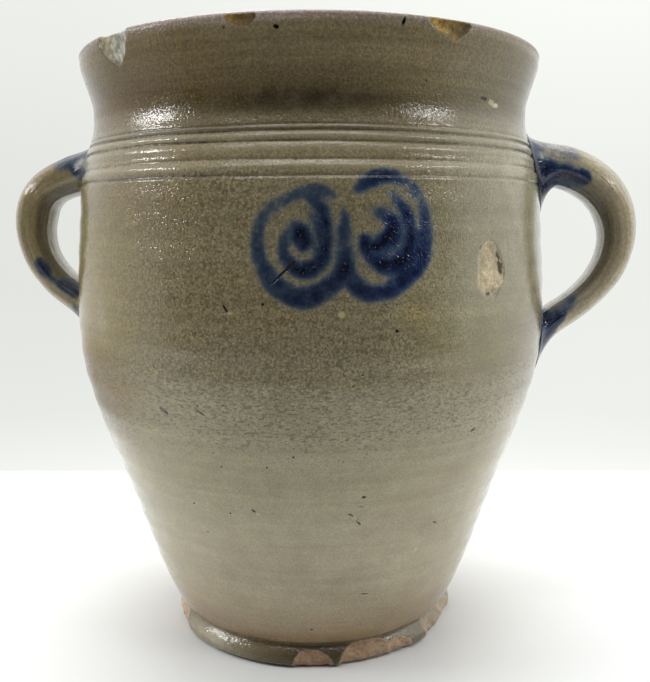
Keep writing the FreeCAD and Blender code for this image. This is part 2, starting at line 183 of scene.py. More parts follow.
# Flakes that are gone from the surface. Each has its corners as azimuth and height, its depth, how
# far in from its edge it is that deep, how much it lowers the lip, how pale its edge is, and the
# colours of its floor at the left and at the right.
FLAKES = {
    "left lip scar": {
        "corners": (
            (-52.8, 243), (-52.5, 237.7), (-50.7, 233.2), (-48.2, 230), (-46, 227.8),
            (-42.6, 231.4), (-41.1, 236.4), (-41.4, 243),
        ),
        "depth": 0.9, "slope": 1.6, "notch": 0.5, "edge": 0.05,
        "colours": ((148, 137, 105), (178, 176, 164)),
    },
    "front lip nick": {
        "corners": (
            (-16.8, 239), (-16.4, 237.4), (-14.4, 235.6), (-11.8, 235.4), (-10.2, 237.3), (-10.2, 239.2),
        ),
        "depth": 0.35, "slope": 1.2, "notch": 0, "edge": 0,
        "colours": ((144, 114, 60), (104, 84, 48)),
    },
    "right lip scar": {
        "corners": (
            (23.8, 239.6), (24.1, 238.3), (25.9, 235.6), (28.6, 234.4), (30.9, 232.6), (32.7, 234.7),
            (34.9, 237.9), (34.4, 239.6),
        ),
        "depth": 0.7, "slope": 1.8, "notch": 0, "edge": 0.15,
        "colours": ((176, 144, 76), (92, 78, 42)),
    },
    "belly spall": {
        "corners": (
            (38.9, 167.8), (37.1, 165.6), (35.9, 161.6), (35.6, 156.4), (36.2, 151.2), (37.4, 149.2),
            (39.8, 148.6), (40.2, 146.8), (41.6, 150.4), (43.6, 153.4), (43.9, 157.2), (42.6, 162.5),
            (41, 166.8),
        ),
        "depth": 1.3, "slope": 1, "notch": 0, "edge": 0.3,
        "colours": ((198, 180, 142), (203, 188, 155)),
    },
    "toe chip": {
        "corners": (
            (-7.8, -2), (-7.9, 2.2), (-6.9, 4.8), (-5.2, 6.9), (-3, 8), (1.4, 7.7), (5.4, 5.6),
            (6.9, 2.9), (6.5, -2),
        ),
        "depth": 1, "slope": 1.6, "notch": 0, "edge": 0.1,
        "colours": ((158, 130, 104), (148, 117, 92)),
    },
    "long chip": {
        "corners": (
            (9, -2), (9, 2.1), (9.9, 5.3), (11.6, 7.2), (14.1, 8.7), (18.2, 9.3), (23.5, 9.1),
            (26.4, 8.6), (29.5, 7.4), (32, 7.1), (35.1, 7.5), (39.7, 4.8), (41, 1), (41, -2),
        ),
        "depth": 1.5, "slope": 2, "notch": 0, "edge": 0.1,
        "colours": ((160, 132, 104), (184, 154, 122)),
    },
    "side chip": {
        "corners": (
            (48.5, -2), (48.8, 2.9), (47.3, 8.5), (48.8, 9.3), (52.2, 9), (56.8, 9.7), (60, 12.5),
            (66, 14), (72.6, 12.9), (78, 6), (79, -2),
        ),
        "depth": 2.2, "slope": 5.5, "notch": 0, "edge": 0.15,
        "colours": ((170, 148, 120), (186, 170, 142)),
    },
    "heel chip": {
        "corners": (
            (-92, -2), (-90, 6), (-80, 11), (-69, 11.5), (-65, 9.5), (-61.5, 6.5), (-58, 3.2), (-55.5, 0.8),
            (-55.5, -2),
        ),
        "depth": 1.7, "slope": 3.2, "notch": 0, "edge": 0.1,
        "colours": ((196, 178, 152), (190, 158, 128)),
    },
}


def from_outline(arc, height, corners):
    """How far inside a closed outline each place is, in millimetres, less than 0 outside."""
    nearest = np.full(arc.shape, np.inf)
    inside = np.zeros(arc.shape, bool)
    for (x1, y1), (x2, y2) in zip(corners, corners[1:] + corners[:1]):
        nearest = np.minimum(nearest, from_segment(arc, height, (x1, y1), (x2, y2)))
        crosses = (y1 > height) != (y2 > height)
        with np.errstate(divide="ignore", invalid="ignore"):
            meets = x1 + (height - y1) / (y2 - y1) * (x2 - x1)
        inside ^= crosses & (arc < meets)
    return np.where(inside, nearest, -nearest)


def body_rows():
    """The closed outline of the pot as radius, height and kind."""
    rows = []
    for radius in np.linspace(3, HOLLOW_RADIUS, 13):
        rows.append((radius, HOLLOW_DEPTH * (1 - (radius / HOLLOW_RADIUS) ** 2), UNDER))
    for low, high, pace in OUTER_ROWS:
        count = round((high - low) / pace)
        for height in np.linspace(low, high, count, endpoint=False):
            rows.append((float(wall_radius(height)), height, OUTSIDE))
    for centre, first, last in ((-LIP_ROUND, 0, 90), (LIP_ROUND - LIP_THICKNESS, 90, 180)):
        for turn in np.radians(np.linspace(first, last, 7)):
            radius = LIP_RADIUS + centre + LIP_ROUND * math.cos(turn)
            rows.append((radius, LIP_START + (HEIGHT - LIP_START) * math.sin(turn), LIP))
    for height in np.linspace(LIP_START - 2, FLOOR_THICKNESS + FLOOR_CORNER, 70):
        rows.append((float(wall_radius(height)) - WALL, height, INSIDE))
    corner = rows[-1][0] - FLOOR_CORNER
    for turn in np.radians(np.linspace(10, 90, 8)):
        height = FLOOR_THICKNESS + FLOOR_CORNER * (1 - math.sin(turn))
        rows.append((corner + FLOOR_CORNER * math.cos(turn), height, INSIDE))
    rows += [(radius, FLOOR_THICKNESS, INSIDE) for radius in np.linspace(corner - 4, 3, 10)]
    return [np.array(column) for column in zip(*rows)]


def flake_depths(turn, height):
    """For each place the depth of its flake, how far inside it the place is, how much it lowers the
    lip, how pale its edge is, and the colour of its floor."""
    depth = np.zeros(turn.shape)
    notch = np.zeros(turn.shape)
    reach = np.full(turn.shape, NO_FLAKE)
    edge = np.zeros(turn.shape)
    tint = np.zeros(turn.shape + (4,))
    draw = np.random.default_rng(CHOP_SEED)
    for flake in FLAKES.values():
        azimuths, levels = np.array(flake["corners"]).T
        middle = azimuths.mean()
        scale = math.radians(1) * float(wall_radius(np.clip(levels.mean(), 4, 236)))
        arc = (np.mod(turn - middle + 180, 360) - 180) * scale
        near = np.abs(arc) < FLAKE_REACH
        inside = np.full(turn.shape, NO_FLAKE)
        inside[near] = from_outline(arc[near], height[near], tuple(zip((azimuths - middle) * scale, levels)))
        chop = sum(
            np.cos(arc * draw.uniform(0.4, 1.5) + height * draw.uniform(0.4, 1.5) + draw.uniform(0, 6))
            for _ in range(4)
        )
        share = step(inside, -0.1, flake["slope"])
        depth = np.maximum(depth, flake["depth"] * share * (1 + 0.08 * chop))
        notch = np.maximum(notch, flake["notch"] * share)
        closer = inside > reach
        reach[closer] = inside[closer]
        edge[closer] = flake["edge"]
        across = step(arc, (azimuths.min() - middle) * scale, (azimuths.max() - middle) * scale)[..., None]
        left, right = (np.array(srgb(*colour)) for colour in flake["colours"])
        tint[closer] = (left + (right - left) * across)[closer]
    return depth, reach, notch, edge, tint


def turned_relief(azimuths, turn, height):
    """For each place how far the turned lines lift it, how dark their grooves are there, and how much
    of a raised line it is."""
    groove_height, groove_half = FOOT_GROOVE
    least, darkest_side, fade_start, fade_end = DARK_CUT_LINES
    lift = np.zeros(turn.shape)
    groove = 0.5 * np.exp(-(((height - groove_height) / groove_half) ** 2))
    ridge = np.zeros(turn.shape)
    darkening = least + (1 - least) * (1 - step(np.abs(turn - darkest_side), fade_start, fade_end))
    for index, (place, out, half) in enumerate(TURNED_LINES):
        drift = 0.16 * waves(azimuths, DRIFT_SEED + index, (1, 2, 5, 9))
        strength = 1 + 0.18 * waves(azimuths, STRENGTH_SEED + index, (3, 7, 13, 22))
        line = np.exp(-(((height - place - drift) / half) ** 2))
        lift += out * strength * line
        groove = np.maximum(groove, line * darkening * min(1, max(0, -out / 0.6)))
        ridge = np.maximum(ridge, line * max(0, out / 0.5))
    return lift, groove, ridge


def throwing_relief(azimuths, turn, height, outside, inside):
    """How far the potter's fingers left each place out: low ridges outside, higher ones inside, and
    the pot a little out of round."""
    ridges = 0.1 * np.cos(height * 0.62 + 0.9 * waves(azimuths, RIDGE_SEED, (1, 2)))
    ridges += 0.07 * np.cos(height * 0.27 + np.radians(turn) + 1)
    lift = ridges * step(height, 14, 30) * (1 - step(height, 180, 190)) * outside
    ridges = 0.5 * np.cos(height * 0.55 + np.radians(turn)) + 0.3 * np.cos(height * 0.21 - 1)
    lift += (ridges - 0.8) * step(height, 20, 40) * (1 - step(height, 215, 230)) * inside
    wobble = 0.12 * (waves(azimuths, WOBBLE_SEED, (2, 3, 5)) - 1)
    return lift + wobble * step(height, 14, 60) * (outside | inside)


def build_body():
    """The thrown pot as one closed mesh, and where each of its points is."""
    fine = np.linspace(-FINE_SPAN, FINE_SPAN, FINE_COLUMNS, endpoint=False)
    coarse = np.linspace(FINE_SPAN, 360 - FINE_SPAN, COARSE_COLUMNS, endpoint=False)
    azimuths = np.concatenate([fine, coarse])
    radii, heights, kinds = body_rows()
    turn, height = np.meshgrid(azimuths, heights)
    kind = np.repeat(kinds[:, None], len(azimuths), axis=1)
    radius = np.repeat(radii[:, None], len(azimuths), axis=1)
    outside = kind == OUTSIDE
    inside = kind == INSIDE
    lift, groove, ridge = turned_relief(azimuths, turn, height)
    radius += lift * outside + throwing_relief(azimuths, turn, height, outside, inside)
    depth, reach, notch, edge, tint = flake_depths(turn, height)
    reached = outside + (kind == UNDER) * step(radius, *FADE_UNDER) + (kind == LIP) * step(radius, *FADE_LIP)
    radius -= depth * reached
    height = height - np.where(kind == LIP, notch, 0)
    radius = np.where(outside, np.minimum(radius, WIDEST), radius)
    angle = np.radians(turn)
    points = np.stack([radius * np.sin(angle), -radius * np.cos(angle), height], axis=-1)
    piece = make_mesh("salt_glazed_pot", points.reshape(-1, 3), grid_faces(*turn.shape))
    store(piece, "flake", np.where(inside, NO_FLAKE, reach))
    store(piece, "flake_edge", edge)
    store(piece, "groove", groove * outside)
    store(piece, "ridge", ridge * outside)
    store(piece, "flake_tint", tint, "FLOAT_COLOR")
    store(piece, "bare", kind == UNDER)
    store(piece, "inside", inside)
    return piece, turn.ravel(), height.ravel(), (outside | (kind == LIP)).ravel()


body, turns, heights, is_outside = build_body()
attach(body, "root")
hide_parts("thrown_body")


# The painted double spiral: for each stroke its points as arc to the right of the front, height,
# half width and strength of the colour. Arcs are measured on one radius.
ARC_RADIUS = 98
STROKES = {
    "left ring": (
        (7.4, 182.5, 1.4, 0.3), (3.6, 184.4, 1.9, 0.42), (-0.7, 184.8, 1.7, 0.45),
        (-4, 183.4, 1.8, 0.4), (-7.4, 181.8, 2.1, 0.32), (-10.8, 180.1, 2.4, 0.3),
        (-13.7, 178.2, 2.2, 0.3), (-15.6, 175.9, 2.4, 0.34), (-16.8, 173, 2.2, 0.38),
        (-17.4, 169.7, 2.3, 0.43), (-17.3, 166.2, 2.4, 0.46), (-16.6, 162.6, 2.6, 0.5),
        (-15, 159, 2.8, 0.52), (-13, 155.7, 3, 0.55), (-10.1, 153.1, 3.2, 0.58),
        (-6.8, 151.2, 3.2, 0.62), (-3.4, 150.2, 3.4, 0.7), (-0.2, 150.5, 3.4, 0.7),
        (2.9, 151.9, 3.2, 0.65), (6.2, 154.1, 3, 0.62), (8.7, 156.6, 2.7, 0.62),
        (10.4, 159.4, 2.4, 0.58),
    ),
    "middle bar": (
        (10.8, 159.4, 2.4, 0.58), (10.8, 163.3, 2.4, 0.55), (10.4, 167.1, 2.2, 0.5),
        (10.4, 170.9, 2.2, 0.48), (10.9, 174.3, 1.9, 0.42), (10.9, 177.2, 1.7, 0.28),
        (10.9, 178.8, 1.2, 0.12),
    ),
    "left coil": (
        (-0.7, 182.2, 1.6, 0.42), (1.5, 181, 1.9, 0.55), (3.2, 178.8, 1.9, 0.66),
        (4.4, 175.9, 1.8, 0.78), (4.8, 172.8, 1.6, 0.88), (4.8, 169.6, 1.7, 0.88),
        (4.4, 166.1, 1.9, 0.84), (3.4, 162.7, 2.1, 0.82), (1.4, 160.3, 2.3, 0.84),
        (-1.5, 159.1, 2.5, 0.9), (-4.3, 159.5, 2.2, 0.86), (-6.5, 161, 1.9, 0.78),
        (-8.3, 163.1, 1.9, 0.6), (-8.9, 165.8, 2, 0.5), (-8.7, 168.6, 1.8, 0.42),
        (-7.6, 171.8, 1.4, 0.36), (-5.8, 174.4, 1.2, 0.3),
    ),
    "left haze": (
        (0.6, 176.6, 1.3, 0.3), (2.6, 173.2, 1.5, 0.5), (2.8, 169.2, 1.5, 0.5),
        (1.6, 165.4, 1.4, 0.4),
    ),
    "left heart": (
        (-4, 172.2, 1.9, 0.9), (-3.3, 170.4, 2.7, 1), (-2.7, 168.6, 2.6, 1),
        (-2.2, 167.2, 1.9, 0.9),
    ),
    "right cap": (
        (15.2, 184.8, 1.5, 0.45), (17.2, 186.2, 2.3, 0.52), (19.6, 187.6, 2.4, 0.66),
        (22.2, 188.5, 2.2, 0.85), (25.1, 189, 1.9, 0.9), (27.8, 188.9, 1.8, 0.7),
        (30.2, 188, 1.9, 0.4), (32.8, 186.6, 2.1, 0.22), (35, 184.8, 2.1, 0.18),
    ),
    "right ring": (
        (35, 184.8, 2.1, 0.18), (37, 181.8, 2.2, 0.22), (38.2, 178.6, 2.1, 0.34),
        (38.8, 175.3, 2.2, 0.44), (38.7, 171.6, 2.5, 0.52), (38, 167.7, 3, 0.56),
        (36.8, 163.9, 3.8, 0.62), (34.6, 160.3, 3.7, 0.68), (31.6, 157.1, 3.5, 0.7),
        (28.4, 154.3, 3.1, 0.72), (24.8, 152.1, 2.5, 0.72), (21.2, 151.2, 2.4, 0.72),
        (17.4, 152, 2.8, 0.7), (14.5, 154, 2.9, 0.66), (12.3, 156.5, 2.7, 0.62),
        (11.1, 159.1, 2.2, 0.58),
    ),
    "right coil": (
        (25.8, 183.9, 1, 0.15), (27.9, 182, 1.3, 0.35), (29.6, 180, 1.6, 0.52),
        (31.3, 177.5, 1.7, 0.68), (32.7, 174.3, 1.9, 0.8), (33.4, 170.7, 1.9, 0.86),
        (32.8, 167.2, 2.1, 0.86), (31.3, 164, 2.4, 0.86), (28.7, 161.4, 2.6, 0.9),
        (25.7, 160.2, 2.6, 0.92), (22.6, 160.9, 2.6, 0.86), (20, 163.2, 2.2, 0.8),
        (18.3, 165.7, 2.1, 0.7), (17.6, 168.3, 1.6, 0.55),
    ),
    "right haze": (
        (20.4, 177.6, 1.4, 0.2), (22.9, 177.2, 1.9, 0.38), (25, 175.9, 1.9, 0.5),
        (27.9, 171.6, 2.2, 0.34), (27.4, 167.2, 2, 0.34), (24.2, 164.8, 1.6, 0.3),
    ),
    "right comma": (
        (26, 175.2, 1.3, 0.6), (26.9, 173.3, 1.9, 0.92), (26.9, 171.1, 2.2, 1),
        (25.1, 169.2, 2.4, 1), (22.4, 167.6, 2.1, 1), (20, 166.7, 1.8, 0.9),
        (18, 167, 1.7, 0.7), (17.1, 169.2, 1.3, 0.5),
    ),
}

# Small marks: azimuth, height, half length, half width, tilt from level, and place on MARK_SHADES
MARKS = (
    (-6.4, 234.7, 1, 0.7, -10, 0), (18.4, 237.3, 1.5, 0.6, 70, 0), (-32.8, 109.9, 1.5, 1, -40, 0.38),
    (-32, 108.9, 1.1, 0.5, -40, 0.1), (-23.4, 110.6, 2.2, 0.26, -34, 0.2), (-16.6, 146.6, 1.6, 0.4, -55, 0),
    (-15.7, 145.1, 0.9, 0.6, 0, 0.7), (-9.2, 148.2, 0.7, 0.5, 50, 0.05), (16.3, 138.9, 0.6, 0.6, 0, 0.1),
    (9.7, 124.6, 0.4, 0.4, 0, 0.15), (38.4, 99.6, 1.2, 0.6, 20, 0.1), (-4.1, 95.4, 0.4, 0.34, 0, 0.18),
    (-20.6, 90.2, 0.36, 0.3, 0, 0.18), (-10, 91.1, 0.34, 0.3, 0, 0.18), (-31.3, 72.5, 0.4, 0.34, 0, 0.18),
    (-20.9, 70.7, 0.4, 0.3, 0, 0.18), (-14.2, 72.4, 1.6, 0.5, -30, 0.15), (-14, 71.6, 1.5, 0.5, -30, 0.85),
    (10.2, 70, 1.5, 1, -30, 0.78), (9.2, 71.3, 1.4, 0.3, -20, 0.1), (11.5, 67.4, 1, 0.35, -50, 0.2),
    (12, 78.4, 0.8, 0.6, 0, 0.1), (34.9, 61.8, 1.3, 0.35, -25, 0.1), (30.6, 51.5, 0.9, 0.6, 0, 0.9),
    (15.8, 34.6, 1.5, 0.3, -8, 0.1), (-0.8, 18.5, 0.6, 0.4, 0, 0.15), (5.6, 144.8, 1.2, 1.1, 0, 0.78),
    (-5.7, 157.8, 6.2, 0.5, 43, 0.25), (-3.8, 160.8, 1.9, 0.8, 43, 0.22), (43.2, 158, 2.4, 0.8, -74, 0.38),
    (42.3, 162.4, 2, 0.4, -68, 0.4), (38.9, 149.3, 1.6, 0.6, 8, 0.38), (36.4, 165.4, 0.9, 0.55, 50, 0.4),
    (36, 156.4, 1.6, 0.3, 90, 0.4), (46, 215.8, 3.6, 1.1, -14, 0.8), (47.4, 215.3, 1.6, 0.8, 8, 1),
    (42.4, 216.9, 2, 0.7, 0, 0.12),
)

# Soft stains in the glaze, with soft patches of painted light and shade among them, marked below:
# azimuth, height, half width in degrees, half height, strength, colour
STAINS_AND_PAINTED_LIGHT = (
    (0, 16, 400, 9, 0.45, (140, 112, 76)), (0, 214.5, 400, 6, 0.6, (96, 80, 50)),
    # First here: the neck band's dark middle, partly glaze colour and partly painted shade;
    # second: a darker line where the neck meets the turned lines
    (-1, 213.8, 31, 7, 0.8, (48, 43, 34)), (0, 204.8, 70, 1.6, 0.5, (80, 70, 46)),
    (-45, 217, 22, 4.5, 0.8, (74, 58, 34)), (-46, 229, 26, 10, 0.75, (94, 78, 46)),
    (38, 229, 20, 12, 0.75, (114, 102, 74)), (44, 218, 16, 5, 0.5, (92, 82, 54)),
    # Both patches here, pale at the sides of the shoulder, are painted reflection of the bright surround
    (-62, 197, 24, 12, 0.5, (172, 163, 138)), (62, 197, 24, 12, 0.55, (176, 170, 146)),
    (52, 175, 22, 26, 0.4, (164, 157, 130)), (-54, 150, 24, 40, 0.6, (142, 126, 70)),
    # The second patch here and the first on the next line, pale low on both sides, are painted reflection
    (-68, 128, 14, 30, 0.55, (148, 126, 70)), (-58, 80, 12, 26, 0.35, (190, 184, 164)),
    # The second patch here, pale on the foot's bead at the left, is a painted highlight
    (62, 86, 12, 30, 0.35, (190, 184, 164)), (-44, 5, 20, 3.5, 0.8, (178, 170, 144)),
    # The first patch here, dark on the front of the foot's bead, is painted shade
    (6, 4, 32, 5, 0.88, (62, 53, 38)), (58, 178, 20, 40, 0.3, (150, 152, 118)),
    # The second patch here and the first on the next line, darker olive at the neck's sides,
    # are partly glaze colour and partly painted shade
    (-56, 216, 14, 8, 0.5, (118, 84, 44)), (-64, 220, 18, 15, 0.7, (84, 74, 42)),
    (66, 224, 16, 16, 0.65, (94, 86, 54)), (-38, 186, 20, 13, 0.35, (124, 100, 62)),
    (-58, 110, 13, 12, 0.95, (96, 76, 24)), (-49, 112, 10, 8, 0.65, (120, 92, 44)),
    (-60, 124, 16, 10, 0.5, (124, 102, 58)), (36, 136, 12, 15, 0.5, (138, 131, 84)),
    (-22, 158, 16, 20, 0.12, (120, 102, 80)), (30, 152, 14, 26, 0.35, (172, 166, 132)),
    (26, 224, 14, 12, 0.3, (150, 138, 106)), (0, 112, 50, 10, 0.3, (168, 160, 130)),
    # The first patch here, dark on the upper front of the foot's bead, is painted shade
    (3, 7.6, 12, 2.2, 0.75, (52, 46, 36)), (20.7, 143.6, 3, 4.4, 0.5, (156, 140, 88)),
    (-51, 139, 2.4, 8, 0.35, (172, 164, 136)), (-51.5, 2.2, 3.4, 1.6, 0.7, (176, 138, 84)),
    # This pale patch at the right edge of the neck is painted reflection
    (78, 224, 8, 13, 0.3, (158, 154, 138)),
)

# The cobalt's soft wash: how wide it is either side of a stroke's middle, and how strong
WASH = 5.5
WASH_STRENGTH = 0.1
# How soft a stroke's edge is: where it starts within the stroke, and where it ends outside
SOFT_EDGE = (1.8, 1.5)
# Arcs and heights between which the painting lies
PAINTED_ARCS = (-28, 50)
PAINTED_HEIGHTS = (140, 198)


def stains_and_painted_light(turn, height):
    """The colour of the stains and of the painted light and shade at each place, with how strong they
    are as its fourth value.
    """
    colour = np.full(turn.shape + (3,), 0.1)
    strength = np.zeros(turn.shape)
    for azimuth, level, half_turn, half_height, force, tint in STAINS_AND_PAINTED_LIGHT:
        away = (np.mod(turn - azimuth + 180, 360) - 180) / half_turn
        cover = force * np.exp(-(away**2) - ((height - level) / half_height) ** 2)
        whole = strength + cover * (1 - strength)
        share = np.divide(cover, whole, out=np.zeros_like(whole), where=whole > 1e-6)[:, None]
        colour = colour * (1 - share) + np.array(srgb(*tint)[:3]) * share
        strength = whole
    return np.concatenate([colour, strength[:, None]], axis=1)


def stroke_samples(points, spacing=0.4):
    """A smooth line through a stroke's points: arc, height, half width and strength."""
    values = np.array(points)
    runs = np.hypot(*np.diff(values[:, :2], axis=0).T)
    along = np.concatenate([[0], np.cumsum(runs)])
    places = np.linspace(0, along[-1], int(along[-1] / spacing) + 2)
    return np.stack([smooth(places, along, values[:, column]) for column in range(4)], axis=1)


def painted(turn, height):
    """How much cobalt lies at each place, 0 to 1."""
    arc = np.radians(turn) * ARC_RADIUS
    clear = np.ones(turn.shape)
    near = (arc > PAINTED_ARCS[0]) & (arc < PAINTED_ARCS[1])
    near &= (height > PAINTED_HEIGHTS[0]) & (height < PAINTED_HEIGHTS[1])
    for points in STROKES.values():
        cover = np.zeros(near.sum())
        wash = np.zeros(near.sum())
        for across, up, half, strength in stroke_samples(points):
            gap = np.hypot(arc[near] - across, height[near] - up)
            edge = 1 - step(gap, half - SOFT_EDGE[0], half + SOFT_EDGE[1])
            core = 0.7 + 0.3 * np.exp(-((gap / half) ** 2))
            cover = np.maximum(cover, edge * core * strength)
            wash = np.maximum(wash, WASH_STRENGTH * strength * np.exp(-((gap / WASH) ** 2)))
        clear[near] *= (1 - cover) * (1 - wash)
    return 1 - clear


def nearest_marks(turn, height, outside):
    """The place of each point as seen from its nearest small mark, in the mark's own size, and the
    mark's shade."""
    best = np.full(turn.shape, 1e9)
    seen = np.full(turn.shape + (3,), 9.0)
    radius = wall_radius(np.clip(height, 0, LIP_START))
    for azimuth, level, length, width, tilt, shade in MARKS:
        across = np.radians(turn - azimuth) * radius
        up = height - level
        lean = math.radians(tilt)
        along = (across * math.cos(lean) + up * math.sin(lean)) / length
        aside = (up * math.cos(lean) - across * math.sin(lean)) / width
        gap = np.hypot(across, up)
        closer = (gap < best) & outside
        best = np.where(closer, gap, best)
        seen[closer] = np.stack([along, aside, np.full(turn.shape, shade)], axis=1)[closer]
    return seen


store(body, "cobalt", painted(turns, heights) * is_outside)
# Stains and patches of painted light and shade, kept on the pot's points
store(body, "stain_and_light", stains_and_painted_light(turns, heights), "FLOAT_COLOR")
store(body, "mark", nearest_marks(turns, heights, is_outside), "FLOAT_VECTOR")


# The handles. Each has its azimuth, its stations as distance from the axis, height, half thickness
# and half width, and its two ends, where the clay is smeared onto the wall: middle height, reach
# up, reach down, half width, how proud its edge stands, and how far out the handle is plain.
HANDLES = {
    "left": {
        "azimuth": -91,
        "stations": (
            (91.8, 197, 9.6, 15), (98, 196, 9, 14), (103.5, 194.3, 8.4, 13.2),
            (109.3, 192, 8, 12.8), (114, 189, 7.8, 12.5), (117.9, 184.3, 7.8, 12.2),
            (119.9, 178.5, 7.9, 12), (120.7, 172.8, 7.5, 12), (120.3, 167, 7.1, 11.8),
            (118.9, 161.3, 6.8, 11.4), (116.5, 156.2, 6.7, 11.2), (113.4, 151.8, 6.6, 11),
            (109.9, 147.9, 6.6, 11), (106, 144.8, 6.7, 11), (102, 141.8, 6.85, 11.2),
            (96.5, 134.5, 7.65, 11.6),
        ),
        "upper": (198.5, 10.6, 12.5, 18.5, 0.5, 10),
        "lower": (137.5, 13, 9.5, 14, 0.4, 9),
    },
    "right": {
        "azimuth": 84,
        "stations": (
            (88, 200, 9.2, 16), (94, 198.6, 9, 15), (100, 197.3, 8.8, 14.2),
            (106.4, 197, 8.9, 13.6), (112.2, 195, 8.8, 13.2), (118.1, 191.7, 8.7, 12.9),
            (122.8, 187.7, 8.5, 12.7), (126.5, 182.8, 8.2, 12.5), (129, 177.2, 7.8, 12.5),
            (130.2, 171.7, 7.35, 12.3), (130.3, 166, 6.95, 12), (129, 159.5, 6.65, 11.7),
            (126.3, 153.1, 6.45, 11.4), (122.3, 147.3, 6.1, 11), (117.4, 142.1, 5.95, 11),
            (112, 137.6, 5.95, 11), (106.2, 133.5, 6, 11.2), (100.9, 129, 5.7, 11.5),
            (96.9, 122.7, 5.25, 12),
        ),
        "upper": (199, 12.6, 23, 18.5, 0.35, 19),
        "lower": (126, 12, 17, 15, 0.4, 10),
    },
}
# A handle's mesh: points round its section, distance between sections, and rows of a smeared end
AROUND = 72
STATION_STEP = 1.2
FLARE_ROWS = 14
# How much the section and the outline of a smeared end are squared off, 1 for an oval
SECTION_POWER = 2 / 2.25
FLARE_POWER = 0.85
# Lengthwise ridges and grooves: how far round they lie, half width in degrees, how far they stand out
PULL_LINES = ((98, 9, 0.55), (122, 12, -0.75), (146, 8, 0.6), (40, 10, -0.25))
# The rows of a smeared end within the wall: how far out of its face, and share of the full outline
SUNK_ROWS = ((-3, 0.9), (-1.5, 0.97), (-0.4, 1))
# How dark the seam is painted along the first and the last rows of a handle: painted shade where the
# handle meets the wall
UPPER_SEAM = (0, 0.2, 0.8, 0.6, 0.1, 0, 0)
LOWER_SEAM = (0, 0, 0.2, 0.5, 0.6, 0.3, 0)


def squared(swing, power):
    """A value between -1 and 1, carried nearer to the ends."""
    return np.sign(swing) * np.abs(swing) ** power


def section_offsets(turns, thick, wide):
    """A handle's section: how far each point lies outward and to the front. The turn is 0 on the
    outer side and 90 at the front."""
    degrees = np.degrees(turns)
    relief = np.zeros_like(turns)
    for place, half, lift in PULL_LINES:
        relief += lift * np.exp(-(((degrees - place) / half) ** 2))
        relief += 0.7 * lift * np.exp(-(((degrees - 360 + place) / half) ** 2))
    outward = squared(np.cos(turns), SECTION_POWER)
    forward = squared(np.sin(turns), SECTION_POWER)
    return outward * (thick + relief), forward * (wide + relief)


def flare(end, ring, heading, turns, azimuth, side):
    """Rows from the wall to the first plain section. The side is 1 for an upper end, -1 for a lower
    one."""
    middle, above, below, half, proud, _ = end
    out = np.array([math.sin(azimuth), -math.cos(azimuth), 0])
    to_front = math.copysign(1, -azimuth)
    rise = side * np.cos(turns)
    height = middle + np.where(rise > 0, above, below) * squared(rise, FLARE_POWER)
    ripple = 0.9 * np.cos(3 * turns + 1) + 0.6 * np.cos(5 * turns + 2.2)
    height = height + ripple * np.sign(rise) * 0.6
    arc = half * squared(np.sin(turns), FLARE_POWER)
    rows = []
    for sunk, grow in SUNK_ROWS + ((proud, 1),):
        level = middle + (height - middle) * grow
        radius = wall_radius(level) + sunk
        swing = azimuth + to_front * arc * grow / radius
        rows.append(np.stack([radius * np.sin(swing), -radius * np.cos(swing), level], axis=1))
    edge = rows[-1]
    inward = edge.mean(axis=0) - edge
    span = np.linalg.norm(ring - edge, axis=1)[:, None]
    start = inward / np.linalg.norm(inward, axis=1)[:, None] * span * 0.7 + 0.25 * span * out
    finish = heading * span * 0.95
    for t in np.linspace(0, 1, FLARE_ROWS, endpoint=False)[1:]:
        blend = t * t * (3 - 2 * t)
        rows.append(edge * (1 - blend) + ring * blend + start * t * (1 - t) ** 2 + finish * t * t * (t - 1))
    return rows


def build_handle(side, spec):
    """A pulled handle whose two ends are smeared onto the wall, as one closed mesh."""
    azimuth = math.radians(spec["azimuth"])
    out = np.array([math.sin(azimuth), -math.cos(azimuth), 0])
    front = math.copysign(1, -azimuth) * np.array([math.cos(azimuth), math.sin(azimuth), 0])
    up = np.array([0, 0, 1])
    turns = np.linspace(0, 2 * math.pi, AROUND, endpoint=False)
    knots = np.array(spec["stations"])
    runs = np.concatenate([[0], np.cumsum(np.hypot(*np.diff(knots[:, :2], axis=0).T))])
    upper = spec["upper"]
    lower = spec["lower"]
    places = np.linspace(upper[5], runs[-1] - lower[5], int((runs[-1] - upper[5] - lower[5]) / STATION_STEP))
    curve = np.stack([smooth(places, runs, knots[:, column]) for column in range(4)], axis=1)
    ahead = np.gradient(curve[:, :2], axis=0)
    ahead /= np.linalg.norm(ahead, axis=1)[:, None]
    rings = []
    for (reach, height, thick, wide), (along_out, along_up) in zip(curve, ahead):
        outward, forward = section_offsets(turns, thick, wide)
        normal = along_out * up - along_up * out
        rings.append(reach * out + height * up + outward[:, None] * normal + forward[:, None] * front)
    rings = np.array(rings)
    headings = ahead[:, :1] * out + ahead[:, 1:] * up
    rows = flare(upper, rings[0], headings[0], turns, azimuth, 1)
    rows += list(rings)
    rows += flare(lower, rings[-1], -headings[-1], turns, azimuth, -1)[::-1]
    points = np.array(rows)
    piece = make_mesh(f"{side}_pulled_handle", points.reshape(-1, 3), grid_faces(len(rows), AROUND))
    steps = np.linalg.norm(np.diff(points.mean(axis=1), axis=0), axis=1)
    along = np.repeat(np.concatenate([[0], np.cumsum(steps)]), AROUND)
    around = np.tile(np.degrees(turns), len(rows))
    seam = np.zeros(len(rows))
    seam[:len(UPPER_SEAM)] = UPPER_SEAM
    seam[-len(LOWER_SEAM):] = LOWER_SEAM
    store(piece, "along", along)
    store(piece, "around", around)
    store(piece, "seam", np.repeat(seam, AROUND))
    return piece, points.reshape(-1, 3), front


